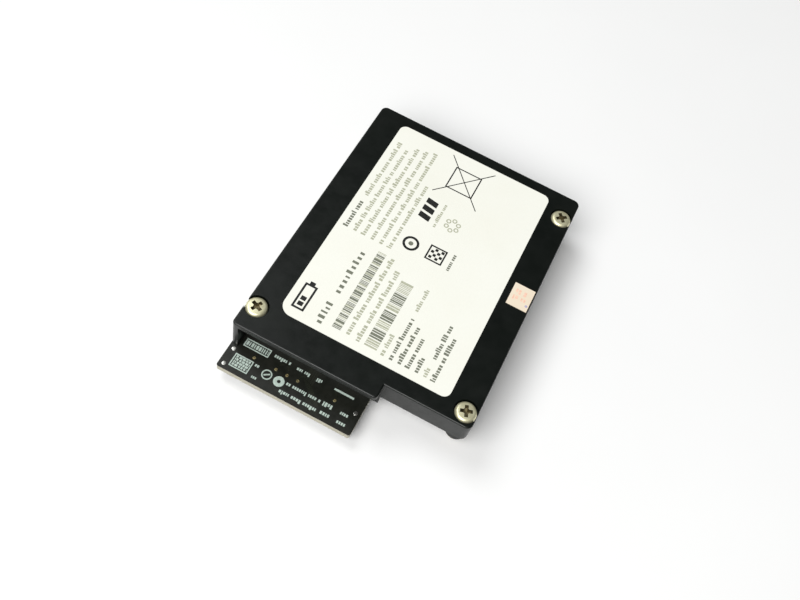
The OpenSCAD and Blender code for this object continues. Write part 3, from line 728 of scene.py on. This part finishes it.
# Copper under the mask shows as low ridges: from each via back under the housing
copper = Marks(**on_tab, high=COPPER_HIGH)
for k, (a, b) in enumerate(solids("tab_vias")):
    via = ((a + b) / 2 - board_low) / MM
    x, y = via.x, via.y
    aside = x + (1.2 if k % 2 else -1.2)
    copper.disc(x, y, 0.55)
    copper.path([(x, y), (x, y + 1.0), (aside, y + 2.2), (aside, y + 5.5)], 0.25)
# A bundle of five runs side by side
for k in range(5):
    x, nearer = 18.4 + k * 0.55, k * 0.2
    copper.path([(x, 10.0), (x, 7.0 - nearer), (x + 4.0, 3.0 - nearer), (x + 4.0, 0.5)], 0.2)
copper.object("tab_copper", "masked_copper", "board_laminate")

# Underside of the board: runs from the connector's contacts, vias, test pads, silkscreen
under = dict(origin=(board_low.x, board_low.y, board_low.z), along=X, across=Y, out=-Z)
copper, gold = Marks(**under, high=UNDER_COPPER_HIGH), Marks(**under, high=UNDER_PAD_HIGH)
silk = Marks(**under, high=UNDER_SILK_HIGH)
dice = random.Random(7)
connector_low, connector_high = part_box("board_connector")
connector_back = (connector_high.y - board_low.y) / MM
tails = [((a + b) / 2 - board_low) / MM for a, b in solids("connector_contacts")]
back_tails = sorted(t.x for t in tails if t.y > connector_back)
middle = (board_high.x - board_low.x) / MM / 2
for x in back_tails:
    aside = (x - middle) * 0.36
    start = connector_back + 0.4
    bend = start + 1.6 + abs(aside) * 0.5
    end = bend + abs(aside) + 6 + dice.random() * 40
    copper.path([(x, start), (x, bend), (x + aside, bend + abs(aside)), (x + aside, end)], 0.28)
    copper.disc(x + aside, end, 0.42, 16)
    gold.disc(x + aside, end, 0.22, 12)
# Two broad runs along the sides, each with six vias
for x, start, end in ((2.2, 20, 74), (30.6, 22, 70)):
    copper.path([(x, start), (x, end)], 1.3)
    for k in range(6):
        gold.disc(x, start + 1.5 + (end - start - 3) * k / 5, 0.28, 12)
# A row of six test pads in rings
for k in range(6):
    u, v = 26.9, 62.0 + k * 1.9
    gold.disc(u, v, 0.6, 20)
    silk.ring(u, v, 0.74, 0.13, steps=20)
# Scattered vias under the mask
for _ in range(30):
    copper.disc(4.5 + dice.random() * 23, 56 + dice.random() * 20, 0.3, 12)
# A framed field with a dot at its corner, two lines of print, and the connector's outline
silk.frame(8.0, 20.5, 60.5, 74.0, 0.2)
silk.disc(8.9, 73.1, 0.3)
silk.words(9.0, 19.5, 58.9, 1.1, seed=81)
silk.words(12.0, 26.0, 77.3, 1.2, seed=82)
left, right = ((end.x - board_low.x) / MM for end in (connector_low, connector_high))
silk.frame(left - 0.7, right + 0.7, 0.7, 8.1, 0.18)
copper.object("under_copper", "masked_copper", "board_laminate")
gold.object("under_pads", "gold_plating", "gold_plating")
silk.object("under_silk", "silk_ink", "board_laminate")


# ---------------------------------------------------------------- fittings below

def block(bm, centre, size, bevel, material=0):
    """A box with rounded edges, added to bm."""
    had = set(bm.verts)
    bmesh.ops.create_cube(bm, size=1.0)
    new = [v for v in bm.verts if v not in had]
    for v in new:
        v.co = Vector(centre) + Vector(a * b for a, b in zip(v.co, size))
    edges = list({e for v in new for e in v.link_edges})
    faces = {f for v in new for f in v.link_faces}
    made = bmesh.ops.bevel(bm, geom=edges, offset=bevel, segments=2, affect="EDGES")
    faces = {f for f in bm.faces if f in faces or f in made["faces"]}
    faces |= {f for v in made["verts"] for f in v.link_faces}
    for f in faces:
        f.material_index = material


# Small parts soldered under the board: a ceramic or film body between two tinned ends. Each is at (x, y) on
# the board and lies along x, or along y where it is turned.
CERAMIC, TINNED, FILM = 0, 1, 2
LONG, WIDE, END = 1.6, 0.8, 0.3
bm = bmesh.new()
places = [(5.2, 12.6 + k * 2.1, True) for k in range(4)]
places += [(27.6, 18.5 + k * 2.0, True) for k in range(5)]
places += [(23.6, 62.4 + k * 2.2, False) for k in range(5)]
for k, (x, y, turned) in enumerate(places):
    tall = 0.65 if k % 3 == 0 else 0.5
    centre = Vector((board_low.x + x * MM, board_low.y + y * MM, board_low.z - (tall / 2 + 0.01) * MM))
    body, end, reach = (LONG - 0.5, WIDE - 0.04), (END, WIDE), (LONG / 2 - END / 2, 0)
    if turned:
        body, end, reach = body[::-1], end[::-1], reach[::-1]
    block(bm, centre, (body[0] * MM, body[1] * MM, (tall - 0.04) * MM), 0.04 * MM, CERAMIC if k % 2 else FILM)
    for side in (-1, 1):
        aside = Vector((side * reach[0], side * reach[1], 0)) * MM
        block(bm, centre + aside, (end[0] * MM, end[1] * MM, tall * MM), 0.06 * MM, TINNED)
parts = add_smooth("under_parts", bm, "capacitor_ceramic")
parts.data.materials.append(materials["solder"])
parts.data.materials.append(materials["resistor_body"])

# Blades on both sides of the connector's tongue, and a solder lug at each end
BLADE_SIZE = Vector((0.32, 0.1, 1.4)) * MM
LUG_FOOT, LUG_WALL = Vector((0.7, 1.8, 0.2)) * MM, Vector((0.12, 1.4, 0.9)) * MM
bm = bmesh.new()
across = (connector_low.y + connector_high.y) / 2
for x in back_tails:
    for side in (-1, 1):
        block(bm, (board_low.x + x * MM, across + side * 0.73 * MM, 1.0 * MM), BLADE_SIZE, 0.02 * MM)
for end, side in ((connector_low.x, -1), (connector_high.x, 1)):
    block(bm, (end + side * 0.3 * MM, across, board_low.z - 0.12 * MM), LUG_FOOT, 0.04 * MM)
    block(bm, (end + side * 0.02 * MM, across, board_low.z - 0.5 * MM), LUG_WALL, 0.03 * MM)
add_smooth("connector_blades", bm, "contact_metal")

# Ejector marks and the gate on the cover's underside, which lies a wall's thickness below the cell's tape
COVER_WALL = 0.8 * MM
cover_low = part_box("bottom_cover")[0]
floor_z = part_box("cell_tape")[0].z - COVER_WALL
marks = Marks((board_high.x, cover_low.y, floor_z), X, Y, -Z, high=EJECTOR_HIGH)
gate = (12.0, 34.0)
for u, v in ((5.5, 9.0), (18.0, 14.0), (5.5, 58.0), (18.0, 54.0), gate):
    marks.ring(u, v, 1.4, 0.12, steps=36)
marks.disc(*gate, 0.5, 24)
marks.object("ejector_marks", "cover_plastic", "cover_plastic")


# ---------------------------------------------------------------- floor, light, camera

FLOOR_HALF = 3.0
z = cad_box[0][2]
mesh = bpy.data.meshes.new("floor")
corners = [(-FLOOR_HALF, -FLOOR_HALF, z), (FLOOR_HALF, -FLOOR_HALF, z),
           (FLOOR_HALF, FLOOR_HALF, z), (-FLOOR_HALF, FLOOR_HALF, z)]
mesh.from_pydata(corners, [], [(0, 1, 2, 3)])
floor = bpy.data.objects.new("floor", mesh)
bpy.context.scene.collection.objects.link(floor)
backing = Paint("floor_paper", Roughness=0.8, Specular_IOR_Level=0.2)
backing.colour(backing.ramp(backing.noise(60, 3), (0.3, 0.9), (0.8, 0.92)))
floor.data.materials.append(backing.material)


def outward(azimuth, elevation):
    """Direction from the object at these angles, in degrees; azimuth 0 is in front, 90 to the right."""
    a, e = math.radians(azimuth), math.radians(elevation)
    return Vector((math.sin(a) * math.cos(e), -math.cos(a) * math.cos(e), math.sin(e)))


def soft_light(name, azimuth, elevation, distance, size, power, tint):
    """Round area light that looks at the origin; distance and size are in metres, power in watts."""
    data = bpy.data.lights.new(name, "AREA")
    data.shape = "DISK"
    data.size, data.energy, data.color = size, power, tint
    made = bpy.data.objects.new(name, data)
    away = outward(azimuth, elevation)
    made.location = away * distance
    made.rotation_mode = "QUATERNION"
    made.rotation_quaternion = (-away).to_track_quat("-Z", "Y")
    bpy.context.scene.collection.objects.link(made)


world = bpy.data.worlds.new("studio")
world.use_nodes = True
background = world.node_tree.nodes["Background"].inputs
background["Color"].default_value = (1, 1, 1, 1)
background["Strength"].default_value = 0.08
bpy.context.scene.world = world
soft_light("front", -15, 50, distance=1.6, size=1.4, power=31.0, tint=(1.0, 1.0, 0.99))
soft_light("left", -110, 56, distance=1.6, size=0.8, power=8.0, tint=(0.98, 1.0, 1.0))
bpy.context.scene.view_settings.view_transform = "Standard"

# Camera at the photograph's angle: where it looks, how far off it stands, and its tilt
LOOK_AT = Vector((0.978, -9.497, 13.9)) * MM
DISTANCE = 200.41 * MM
AZIMUTH, ELEVATION, ROLL = 9.695, 58.764, -19.078
LENS, SENSOR = 39.947, 36.0
data = bpy.data.cameras.new("camera")
data.lens, data.sensor_width = LENS, SENSOR
data.clip_start, data.clip_end = 0.01, 20.0
camera = bpy.data.objects.new("camera", data)
bpy.context.scene.collection.objects.link(camera)
away = outward(AZIMUTH, ELEVATION)
camera.location = LOOK_AT + away * DISTANCE
camera.rotation_mode = "QUATERNION"
pose = (-away).to_track_quat("-Z", "Y")
pose.rotate(Quaternion(away, math.radians(-ROLL)))
camera.rotation_quaternion = pose
bpy.context.scene.camera = camera
